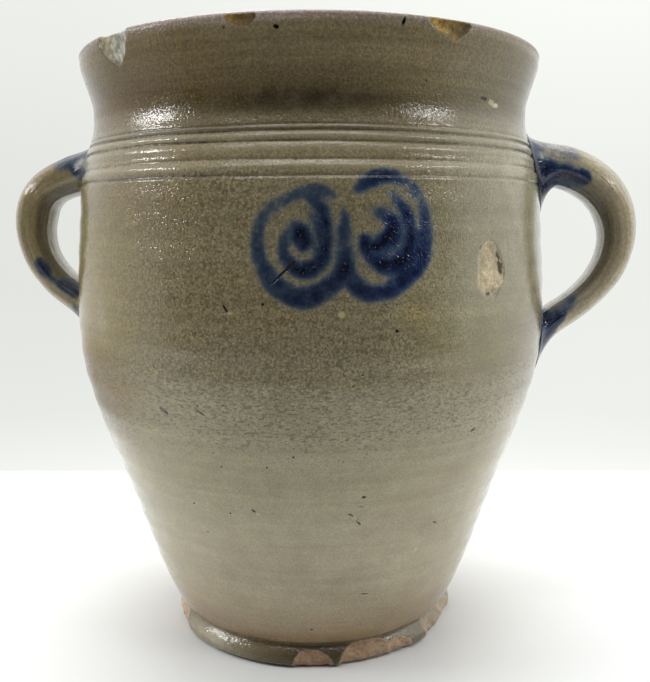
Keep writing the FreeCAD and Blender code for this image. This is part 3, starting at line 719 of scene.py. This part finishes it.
# Cobalt on the handles, seen from the front: for each stroke its points as x and height, its half
# width and its strength
HANDLE_STROKES = {
    "left": (
        # A thin cobalt wash on the top, kept pale partly as painted highlight where the top faces the light
        (((-105.5, 199.6), (-100, 201.4), (-93.8, 203.4)), 3.2, 0.34),
        (((-102, 198.6), (-97.5, 198.8)), 1.2, 0.3),
        (((-97.8, 196.4), (-95, 194.2)), 1.8, 0.85),
        (((-116.2, 157.4), (-114.8, 154.6)), 1.8, 0.7),
        (((-114.8, 154.6), (-110.8, 150.6), (-106.2, 148)), 1.3, 0.4),
        (((-106.2, 148.2), (-102, 145)), 1.8, 0.75),
        (((-102.2, 138.5), (-101.9, 135.1)), 0.9, 0.5),
    ),
    "right": (
        # A thin cobalt wash on the top, kept pale partly as painted highlight where the top faces the light
        (((88.6, 208.5), (96.6, 204), (107, 201.2)), 3.8, 0.2),
        (((92.5, 196.6), (102, 193.4), (110.4, 191.8)), 3, 0.75),
        (((90.5, 194), (93.5, 188.5), (95, 180)), 3.6, 0.9),
        (((96.6, 190.5), (104, 189)), 2.4, 0.5),
        (((90, 204), (90.5, 190)), 1.6, 0.7),
        (((94.5, 134), (95.5, 124)), 1.8, 0.8),
        (((110, 142.1), (107, 138.6), (103.7, 134.7)), 0.9, 0.55),
        (((103.7, 134.7), (101.7, 132)), 1.8, 0.85),
        (((98.7, 135.5), (98.7, 131.6)), 1.3, 1),
        (((100.7, 127.3), (98.4, 124.6), (97.8, 121.5)), 1.9, 0.9),
        (((97.4, 118.3), (96.8, 114.4)), 1.6, 0.35),
    ),
}
# The paint lies on the front of the handles: how far forward it starts, and from where it is full
FRONT_FACE = (-6, 3)
# How soft a stroke's edge is there: where it starts within the stroke, and where it ends outside
HANDLE_EDGE = (2.2, 2.4)


def handle_paint(side, points, front):
    """How much cobalt lies at each place of a handle, 0 to 1."""
    clear = np.ones(len(points))
    facing = step(points @ front, *FRONT_FACE)
    for stroke, half, strength in HANDLE_STROKES[side]:
        gap = np.full(len(points), np.inf)
        for start, end in zip(stroke, stroke[1:]):
            gap = np.minimum(gap, from_segment(points[:, 0], points[:, 2], start, end))
        edge = 1 - step(gap, half - HANDLE_EDGE[0], half + HANDLE_EDGE[1])
        clear *= 1 - strength * facing * edge
    return 1 - clear


handles = {}
for side, spec in HANDLES.items():
    handle, handle_points, handle_front = build_handle(side, spec)
    store(handle, "cobalt", handle_paint(side, handle_points, handle_front))
    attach(handle, "root")
    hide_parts(f"{side}_handle", f"{side}_upper_luting_clay", f"{side}_lower_luting_clay")
    handles[side] = handle


# Shader building


class Value:
    """A number, vector or colour that a node works out. Sums on it add nodes to its tree."""

    def __init__(self, socket):
        self.socket = socket

    def __add__(self, other):
        return calc("ADD", self, other)

    def __sub__(self, other):
        return calc("SUBTRACT", self, other)

    def __rsub__(self, other):
        return calc("SUBTRACT", other, self)

    def __mul__(self, other):
        return calc("MULTIPLY", self, other)

    __radd__ = __add__


def plug(value, socket):
    """Links a value to a socket, or sets the socket to a plain number or colour."""
    if isinstance(value, Value):
        socket.id_data.links.new(value.socket, socket)
    else:
        socket.default_value = value


def add(kind, inputs, tree=None, **settings):
    """One node with its settings and inputs, in the tree of its linked inputs where none is given."""
    linked = [value for value in inputs.values() if isinstance(value, Value)]
    node = (tree or linked[0].socket.id_data).nodes.new(kind)
    for name, value in settings.items():
        setattr(node, name, value)
    for key, value in inputs.items():
        plug(value, node.inputs[key])
    return node


def calc(operation, *values):
    """A sum on numbers."""
    return Value(add("ShaderNodeMath", dict(enumerate(values)), operation=operation).outputs[0])


def between(value, low, high, to_low=0, to_high=1):
    """Carries a value from one range to another, smoothly and held at the ends."""
    inputs = {"Value": value, "From Min": low, "From Max": high, "To Min": to_low, "To Max": to_high}
    return Value(add("ShaderNodeMapRange", inputs, interpolation_type="SMOOTHSTEP").outputs["Result"])


def band(value, start, rise, fall, end):
    """1 between rise and fall, 0 outside start to end."""
    return between(value, start, rise) * between(value, fall, end, 1, 0)


def signed(value, size):
    """A noise value as a number either side of 0, at most about size."""
    return (value - 0.5) * (2 * size)


def mix(share, first, second, how="MIX"):
    """Two colours mixed."""
    inputs = {0: share, 6: first, 7: second}
    return Value(add("ShaderNodeMix", inputs, data_type="RGBA", blend_type=how).outputs[2])


def shade(colour, factor):
    """A colour made lighter or darker by a number."""
    grey = Value(add("ShaderNodeCombineColor", {0: factor, 1: factor, 2: factor}).outputs[0])
    return mix(1, colour, grey, "MULTIPLY")


def split(vector):
    """The three parts of a vector."""
    return [Value(part) for part in add("ShaderNodeSeparateXYZ", {0: vector}).outputs]


def stretch(place, level, upright):
    """A place scaled along the level axes and along the upright one."""
    inputs = {0: place, 1: (level, level, upright)}
    return Value(add("ShaderNodeVectorMath", inputs, operation="MULTIPLY").outputs[0])


def length(x, y):
    """How long a flat vector is."""
    return calc("SQRT", calc("POWER", x, 2) + calc("POWER", y, 2))


def noise(place, size, detail=2, rough=0.5):
    """Soft noise whose grains are about size millimetres across."""
    inputs = {"Vector": place, "Scale": 1 / size, "Detail": detail, "Roughness": rough}
    return Value(add("ShaderNodeTexNoise", inputs).outputs["Fac"])


def specks(place, size, radius, soft):
    """Round specks on a loose grid of size millimetres: 1 on a speck, 0 off it."""
    inputs = {"Vector": place, "Scale": 1 / size, "Randomness": 1}
    gap = Value(add("ShaderNodeTexVoronoi", inputs).outputs["Distance"])
    return between(gap, (radius - soft) / size, (radius + soft) / size, 1, 0)


def swellings(place, size):
    """Soft swellings about size millimetres across: 1 on them, 0 in the seams between them."""
    return between(calc("ABSOLUTE", noise(place, size, 1.5) - 0.5), 0, 0.09)


def stored(tree, name, output="Fac"):
    """A value kept on the mesh."""
    return Value(add("ShaderNodeAttribute", {}, tree, attribute_name=name).outputs[output])


def ramp(value, stops):
    """A colour scale of screen colours."""
    node = add("ShaderNodeValToRGB", {0: value})
    elements = node.color_ramp.elements
    while len(elements) < len(stops):
        elements.new(0.5)
    for element, (at, colour) in zip(elements, stops):
        element.position = at
        element.color = srgb(*colour)
    return Value(node.outputs[0])


def millimetres(tree):
    """The place on the object, in millimetres."""
    place = Value(add("ShaderNodeTexCoord", {}, tree).outputs["Object"])
    return Value(add("ShaderNodeVectorMath", {0: place, "Scale": 1 / MM}, operation="SCALE").outputs[0])


def new_material(name):
    """A material with its tree and its shader."""
    material = bpy.data.materials.new(name)
    material.use_nodes = True
    return material, material.node_tree, material.node_tree.nodes["Principled BSDF"]


def set_glaze(shader, colour, roughness, peel):
    """Gives a shader the glaze's colour, its roughness, and its fine relief in millimetres."""
    bump = add("ShaderNodeBump", {"Height": peel, "Distance": MM, "Strength": 1})
    plug(colour, shader.inputs["Base Color"])
    plug(roughness, shader.inputs["Roughness"])
    plug(GLAZE_IOR, shader.inputs["IOR"])
    plug(Value(bump.outputs[0]), shader.inputs["Normal"])


GLAZE_IOR = 1.5
# Cobalt from thin to thick
COBALT = (
    (0, (112, 114, 100)), (0.2, (78, 88, 94)), (0.45, (48, 60, 76)),
    (0.7, (30, 40, 64)), (0.9, (20, 26, 44)), (1, (14, 18, 30)),
)
# The cobalt is bluer in the right coil than in the left one: from where to where, and by what tint
BLUER_FROM = 8
BLUER_TO = 34
BLUER_TINT = (0.9, 1.02, 1.35, 1)
CRYSTALS = (150, 160, 170)
# Glaze colours: share of the height, and screen colour
GLAZE_BY_HEIGHT = (
    (0, (112, 100, 72)), (0.035, (104, 92, 66)), (0.06, (140, 122, 88)), (0.1, (164, 150, 118)),
    (0.2, (168, 158, 128)), (0.42, (159, 151, 121)), (0.56, (134, 124, 98)), (0.74, (130, 121, 94)),
    (0.8, (138, 128, 100)), (0.86, (139, 126, 98)), (0.92, (122, 109, 81)), (0.98, (130, 118, 91)),
    (0.99, (150, 137, 122)), (1, (190, 176, 174)),
)
IRON_PATCH = (126, 110, 76)
FLAKE_EDGE = (205, 198, 176)
SLIP = ((96, 62, 38), (128, 92, 62))
BISCUIT = ((186, 158, 128), (160, 132, 108))
# Shades of the small marks: black, dark brown, dark blue, grey-blue, brown, tan and pale
MARK_SHADES = (
    (0, (14, 10, 8)), (0.2, (44, 34, 24)), (0.25, (28, 34, 52)), (0.3, (70, 84, 100)),
    (0.38, (98, 84, 60)), (0.8, (176, 164, 120)), (1, (200, 194, 172)),
)


def add_cobalt(tree, place, colour, sparkle):
    """Lays the painted cobalt over a colour, with soft uneven edges and pale crystals where thick."""
    uneven = signed(noise(place, 3, 3, 0.6), 0.9) + signed(sparkle, 0.35)
    amount = stored(tree, "cobalt") * (1 + uneven)
    bluer = between(split(place)[0], BLUER_FROM, BLUER_TO)
    blue = mix(1, ramp(amount, COBALT), mix(bluer, (1, 1, 1, 1), BLUER_TINT), "MULTIPLY")
    covered = mix(between(amount, 0, 0.34), colour, blue)
    crystals = between(amount, 0.72, 0.95) * between(sparkle, 0.6, 0.7)
    return mix(crystals * 0.4, covered, srgb(*CRYSTALS))


def add_specks(place, colour, size, tint):
    """Scatters small iron specks over a colour."""
    return mix(specks(place, size, 0.4, 0.16) * 0.8, colour, srgb(*tint))


def pot_grain(tree):
    """The place on the pot, and the noises and zones that its glaze is made from."""
    place = millimetres(tree)
    across, _, height = split(place)
    patches = noise(stretch(place, 0.6, 1.2), 30)
    zones = height + signed(patches, 14)
    smooth_sides = between(across, -92, -40, 0.35, 1) * between(across, 24, 60, 1, 0.3)
    crease_zone = band(zones, 90, 104, 118, 132)
    return SimpleNamespace(
        tree=tree,
        place=place,
        across=across,
        height=height,
        zones=zones,
        patches=patches,
        blotches=noise(place, 7, 3, 0.6),
        beads=swellings(place, 1.7),
        creases=swellings(stretch(place, 0.6, 1.4), 1.8),
        fine=noise(place, 0.6, 2, 0.6),
        specked=noise(place, 0.9),
        crumb=noise(place, 1.3, 4, 0.7),
        lines=noise(stretch(place, 0.03, 1), 3.2, 3, 0.6),
        dashes=between(noise(stretch(place, 0.55, 1.3), 1.05, 1), 0.57, 0.63) * crease_zone,
        rough_zone=band(zones, 108, 126, 186, 196) * smooth_sides,
        crease_zone=crease_zone,
        neck_zone=between(height, 184, 192),
    )


def glaze_colour(pot):
    """The glaze by height, with its stains and painted light and shade, beads, creases and grain."""
    colour = ramp(calc("DIVIDE", pot.height, HEIGHT), GLAZE_BY_HEIGHT)
    colour = mix(between(pot.patches, 0.42, 0.7, 0, 0.35), colour, srgb(*IRON_PATCH))
    # Stains, and the patches of painted reflection, highlight and shade among them
    stain_and_light_force = stored(pot.tree, "stain_and_light", "Alpha") * between(pot.blotches, 0.3, 0.65, 0.8, 1.1)
    colour = mix(stain_and_light_force, colour, stored(pot.tree, "stain_and_light", "Color"))
    for grain, low, high, dark, pale in (
        (pot.fine, 0.32, 0.68, 0.84, 1.14),
        (pot.lines, 0.3, 0.7, 0.92, 1.06),
        (pot.blotches, 0.3, 0.7, 0.94, 1.06),
    ):
        colour = shade(colour, between(grain, low, high, dark, pale))
    seams = between(pot.blotches, 0.36, 0.6, 0.78, 0.58)
    bead_shade = (seams + pot.beads * (1.08 - seams)) * between(pot.specked, 0.38, 0.62, 0.82, 1.16)
    colour = mix(pot.rough_zone, colour, shade(colour, bead_shade))
    colour = mix(pot.crease_zone, colour, shade(colour, between(pot.creases, 0, 1, 0.82, 1.04)))
    streaks = noise(stretch(pot.place, 0.04, 1), 1.1, 2, 0.6)
    grain = between(streaks, 0.3, 0.7, 0.95, 1.04) * between(pot.lines, 0.3, 0.7, 0.92, 1.07)
    grain *= between(pot.specked, 0.35, 0.65, 0.84, 1.16)
    return mix(pot.neck_zone, colour, shade(colour, grain))


def add_flecks(pot, colour):
    """Lays dashes of painted shade, pale dots, pits, the darker cut lines, amber, salt and the
    raised lines' pale crests, partly painted highlight, over a colour."""
    place = pot.place
    gaps = noise(stretch(place, 1, 0.2), 1.6, 1)
    amber = specks(place, 1.4, 0.34, 0.3) * between(pot.blotches, 0.4, 0.6)
    amber_zone = band(pot.height, 203, 209, 217, 224) + band(pot.height, 224, 229, 236, 240)
    amber_zone *= between(pot.across, -60, 0, 1, 0.1)
    for share, tint in (
        # Dark dashes in the band of creases: painted shade on the undersides of small bumps
        (pot.dashes * 0.45, (80, 68, 46)),
        (specks(place, 5, 0.35, 0.2) * pot.rough_zone * 0.35, (170, 164, 142)),
        (specks(place, 2.3, 0.4, 0.2) * band(pot.zones, 84, 96, 112, 122) * 0.6, (86, 70, 48)),
        (stored(pot.tree, "groove") * between(gaps, 0.42, 0.56, 0.25, 0.8), (44, 36, 30)),
        (amber_zone * amber * 0.6, (158, 128, 70)),
        (specks(place, 1.6, 0.4, 0.3) * between(pot.height, 236.4, 238.6) * 0.55, (196, 186, 182)),
        # Pale crests of the raised lines: thinner glaze, and partly painted highlight
        (stored(pot.tree, "ridge") * 0.45, (178, 170, 144)),
    ):
        colour = mix(share, colour, srgb(*tint))
    return add_specks(place, colour, 12, (48, 36, 24))


def add_flakes(pot, colour):
    """Lays the flakes' bare floors and pale edges over a colour, and says where the flakes are."""
    ragged = signed(noise(pot.place, 1.5, 3, 0.6), 0.6) + signed(pot.blotches, 0.8)
    reach = stored(pot.tree, "flake") + ragged
    broken = between(reach, -0.1, 0.3)
    edge = band(reach, -0.5, -0.1, 0.1, 0.6) * stored(pot.tree, "flake_edge")
    floor = shade(stored(pot.tree, "flake_tint", "Color"), between(pot.crumb, 0.3, 0.7, 0.7, 1.2))
    patchy = between(noise(pot.place, 2.4, 2, 0.6), 0.35, 0.65, 0.7, 1.28)
    floor = mix(between(pot.height, 220, 226), floor, shade(floor, patchy))
    floor = shade(floor, between(pot.blotches, 0.3, 0.7, 0.75, 1.2))
    return mix(edge, mix(broken, colour, floor), srgb(*FLAKE_EDGE)), broken


def add_marks(pot, colour):
    """Lays the small marks over a colour, and says where they are."""
    along, aside, kind = split(stored(pot.tree, "mark", "Vector"))
    on_mark = between(length(along, aside) + signed(pot.fine, 0.4), 0.7, 1.2, 1, 0)
    return mix(on_mark, colour, ramp(kind, MARK_SHADES)), on_mark


def specular_level(pot):
    """How strongly the pot's glaze reflects: more low on the wall, less on the neck, low at the left
    and in the middle of the foot."""
    level = between(pot.height, 212, 215, 0.5, 0.24) + between(pot.height, 50, 90, 0.4, 0)
    left = band(pot.height, 94, 104, 128, 142) * between(pot.across, -84, -50, 0.42, 0)
    foot = band(pot.across, -40, -22, 20, 30) * between(pot.height, 14, 18, 0.6, 0)
    return level - left - foot


def body_material():
    """Salt glaze over grey-tan clay, bare under the foot and brown slip inside."""
    material, tree, shader = new_material("salt_glaze_pot")
    pot = pot_grain(tree)
    colour = add_cobalt(tree, pot.place, add_flecks(pot, glaze_colour(pot)), pot.crumb)
    colour, broken = add_flakes(pot, colour)
    colour, on_mark = add_marks(pot, colour)
    inner = stored(tree, "inside")
    slip = mix(pot.patches, *(srgb(*tint) for tint in SLIP))
    colour = mix(inner, colour, shade(slip, between(pot.fine, 0.3, 0.7, 0.85, 1.1)))
    bare = stored(tree, "bare")
    biscuit = mix(pot.patches, *(srgb(*tint) for tint in BISCUIT))
    colour = mix(bare, colour, shade(biscuit, between(pot.crumb, 0.3, 0.7, 0.75, 1.15)))

    gloss = between(pot.blotches, 0.35, 0.65, 0.07, 0.13)
    matt = calc("MAXIMUM", broken * 0.7, calc("MAXIMUM", bare, inner * 0.4))
    worn_lip = between(pot.height, 237.6, 238.8, 0, 0.25)
    plug(specular_level(pot), shader.inputs["Specular IOR Level"])
    peel = pot.beads * (0.012 + pot.rough_zone * 0.035)
    peel += pot.blotches * between(pot.height, 6, 10, 0.5, 0.06)
    peel += pot.fine * 0.014
    peel += pot.specked * (pot.neck_zone * 0.14 + between(pot.height, 9, 11, 0.2, 0))
    peel += pot.creases * pot.crease_zone * 0.05
    peel += pot.crumb * broken * 0.4
    set_glaze(shader, colour, gloss + matt * 0.65 + worn_lip, peel - pot.dashes * 0.06 - on_mark * 0.12)
    return material


# Handle colours by how far round the section they lie: outer edge, front, inner face, back. The pale
# outer edge is painted highlight, the pale inner face is painted reflection of the bright surround, and
# the dark band where the front turns inward is painted shade; the left handle's pale step on its front
# is painted highlight too.
HANDLE_ROUND = {
    "left": (
        (0, (136, 116, 94)), (0.12, (134, 116, 90)), (0.15, (150, 132, 100)), (0.19, (136, 122, 90)),
        (0.23, (124, 112, 82)), (0.3, (156, 144, 110)), (0.325, (130, 120, 94)), (0.345, (106, 97, 76)),
        (0.375, (110, 102, 82)), (0.4, (130, 122, 102)), (0.44, (166, 160, 140)), (0.5, (198, 195, 182)),
        (0.6, (178, 168, 142)), (0.75, (150, 138, 108)), (1, (136, 116, 94)),
    ),
    "right": (
        (0, (182, 175, 162)), (0.12, (176, 167, 144)), (0.175, (186, 175, 147)), (0.215, (174, 162, 132)),
        (0.24, (160, 149, 123)), (0.28, (150, 140, 118)), (0.315, (152, 143, 120)), (0.345, (122, 114, 97)),
        (0.368, (96, 90, 76)), (0.385, (108, 102, 88)), (0.41, (130, 124, 109)), (0.44, (152, 146, 132)),
        (0.47, (188, 185, 172)), (0.5, (198, 196, 184)), (0.62, (176, 168, 146)), (0.75, (150, 138, 110)),
        (1, (182, 175, 162)),
    ),
}
HANDLE_PATCH = (134, 112, 78)
# Colour of the dark line where a handle meets the wall: painted shade
SEAM = (34, 36, 40)


def handle_material(side):
    """The same glaze on the pulled clay: browner, with streaks along the pull, and with light and shade
    painted round its section.
    """
    material, tree, shader = new_material(f"salt_glaze_{side}_handle")
    place = millimetres(tree)
    around = stored(tree, "around")
    pull = Value(add("ShaderNodeCombineXYZ", {0: stored(tree, "along") * 0.09, 1: around * 0.16}).outputs[0])
    streaks = noise(pull, 1, 3, 0.6)
    patches = noise(place, 14)
    fine = noise(place, 0.7, 2, 0.55)
    beads = noise(place, 1.3, 1.5)
    # Colour round the section, with its painted highlight, reflection and shade
    colour = ramp(calc("DIVIDE", around, 360), HANDLE_ROUND[side])
    colour = shade(colour, between(streaks, 0.3, 0.7, 0.84, 1.12))
    colour = mix(between(patches, 0.45, 0.7, 0, 0.2), colour, srgb(*HANDLE_PATCH))
    colour = shade(colour, between(beads, 0.36, 0.64, 0.88, 1.1))
    colour = add_specks(place, colour, 9, (44, 32, 22))
    colour = add_cobalt(tree, place, colour, fine)
    # A dark line where the handle meets the wall: painted shade
    seam = stored(tree, "seam") * between(streaks, 0.3, 0.6, 0.5, 1)
    colour = mix(seam * 0.7, colour, srgb(*SEAM))
    roughness = between(patches, 0.35, 0.65, 0.09, 0.16)
    set_glaze(shader, colour, roughness, beads * 0.14 + fine * 0.05 + streaks * 0.25)
    return material


body.data.materials.append(body_material())
for side, handle in handles.items():
    handle.data.materials.append(handle_material(side))


# Camera, floor and light

# The camera: its place, how far it is turned down, to the right and rolled, its lens and its sensor
CAMERA_PLACE = (0, -354, 173.9)
CAMERA_DOWN = 8.379
CAMERA_RIGHT = 0.945
CAMERA_ROLL = 0.25
LENS = 44.18
SENSOR = 36
# The table top: half its width, where it ends in front, behind at the left and right, its thickness,
# its colour and its roughness
TABLE = (700, -300, 213, 175, 20)
TABLE_COLOUR = (0.8, 0.808, 0.806, 1)
TABLE_ROUGHNESS = 0.7


def set_camera():
    """The photograph's view."""
    data = bpy.data.cameras.new("camera")
    data.sensor_fit = "HORIZONTAL"
    data.sensor_width = SENSOR
    data.lens = LENS
    camera = bpy.data.objects.new("camera", data)
    down = math.radians(CAMERA_DOWN)
    right = math.radians(CAMERA_RIGHT)
    ahead = Vector((math.sin(right) * math.cos(down), math.cos(right) * math.cos(down), -math.sin(down)))
    camera.rotation_mode = "QUATERNION"
    roll = Quaternion(ahead, math.radians(CAMERA_ROLL))
    camera.rotation_quaternion = roll @ ahead.to_track_quat("-Z", "Y")
    camera.location = Vector(CAMERA_PLACE) * MM
    bpy.context.scene.collection.objects.link(camera)
    bpy.context.scene.camera = camera


# Brightness of the surround: left, right, behind at the left and right, overhead in front and
# behind, low in front, high in front. Then its tint.
LEFT_SIDE = 0.98
RIGHT_SIDE = 1.4
BEHIND = (0.95, 1.05)
OVERHEAD = (0.25, 1.8)
FRONT_LOW = 0.04
FRONT_HIGH = 0.12
SURROUND_TINT = (1, 1.01, 1, 1)
# The backdrop that the camera sees: how far up (0.5 is level), and grey at the left and right
BACKDROP = (
    (0.35, 248, 252), (0.37, 240, 244), (0.39, 233, 239),
    (0.46, 227, 237), (0.52, 228, 238), (0.63, 238, 251),
)


def set_world():
    """A soft white surround, dark in front where the room is."""
    world = bpy.data.worlds.new("surround")
    world.use_nodes = True
    tree = world.node_tree
    x, y, z = split(Value(add("ShaderNodeTexCoord", {}, tree).outputs["Generated"]))
    # 1 straight in front of the jar, 0 beside and behind it
    ahead = between(calc("DIVIDE", y * -1, length(x, y)), 0.2, 0.5)
    front = between(between(z, 0.36, 0.5, 1, 0), 0, 1, FRONT_HIGH, FRONT_LOW)
    sides = between(x, -0.5, 0.5, LEFT_SIDE, RIGHT_SIDE)
    rear = between(x, -0.3, 0.3, *BEHIND)
    bright = sides + between(y, 0.2, 0.7) * (rear - sides)
    bright += ahead * (front - bright)
    above = between(y, -0.4, 0.5, *OVERHEAD)
    bright += between(z, 0.65, 0.85) * (above - bright)
    # 0 straight down, 1 straight up
    up = z * 0.5 + 0.5
    backdrops = [
        ramp(up, [(at, (grey[side], grey[side] + 2, grey[side] - 2)) for at, *grey in BACKDROP])
        for side in (0, 1)
    ]
    seen = mix(between(x, -0.36, 0.36), *backdrops)
    direct = Value(add("ShaderNodeLightPath", {}, tree).outputs["Is Camera Ray"])
    light = shade(SURROUND_TINT, bright)
    plug(mix(direct, light, seen), tree.nodes["Background"].inputs["Color"])
    bpy.context.scene.world = world


def set_floor():
    """The pale table top, which ends a little behind the jar."""
    across, front, back_left, back_right, thick = TABLE
    corners = [(-across, front), (across, front), (across, back_right), (-across, back_left)]
    points = [(x, y, z) for z in (0, -thick) for x, y in corners]
    faces = [(0, 1, 2, 3), (7, 6, 5, 4), (0, 4, 5, 1), (1, 5, 6, 2), (2, 6, 7, 3), (3, 7, 4, 0)]
    table = make_mesh("table_top", points, faces, False)
    material, _, shader = new_material("table_top")
    plug(TABLE_COLOUR, shader.inputs["Base Color"])
    plug(TABLE_ROUGHNESS, shader.inputs["Roughness"])
    table.data.materials.append(material)


# Lamps: azimuth, elevation, width, height, power. All are as far from the point that they face.
LAMPS = {
    "left_lamp": (-81, 25, 300, 44, 2.3),
    "right_lamp": (60, 27, 300, 50, 1.2),
    "front_strip": (0, 56, 1100, 110, 2.7),
    "back_strip": (180, 58, 900, 80, 4),
    "top_lamp": (0, 80, 500, 80, 1.6),
}
LAMP_DISTANCE = 900
LAMPS_FACE = (0, 0, 150)


def set_lamp(name, azimuth, elevation, width, height, power):
    """A soft rectangular lamp that faces the jar."""
    data = bpy.data.lights.new(name, "AREA")
    data.shape = "RECTANGLE"
    data.size = width * MM
    data.size_y = height * MM
    data.energy = power
    lamp = bpy.data.objects.new(name, data)
    turn = math.radians(azimuth)
    rise = math.radians(elevation)
    way = Vector((math.sin(turn) * math.cos(rise), -math.cos(turn) * math.cos(rise), math.sin(rise)))
    lamp.location = (Vector(LAMPS_FACE) + way * LAMP_DISTANCE) * MM
    lamp.rotation_mode = "QUATERNION"
    lamp.rotation_quaternion = (-way).to_track_quat("-Z", "Y")
    lamp.visible_camera = False
    bpy.context.scene.collection.objects.link(lamp)


set_camera()
set_world()
set_floor()
for name, lamp in LAMPS.items():
    set_lamp(name, *lamp)
bpy.context.scene.view_settings.view_transform = "Standard"
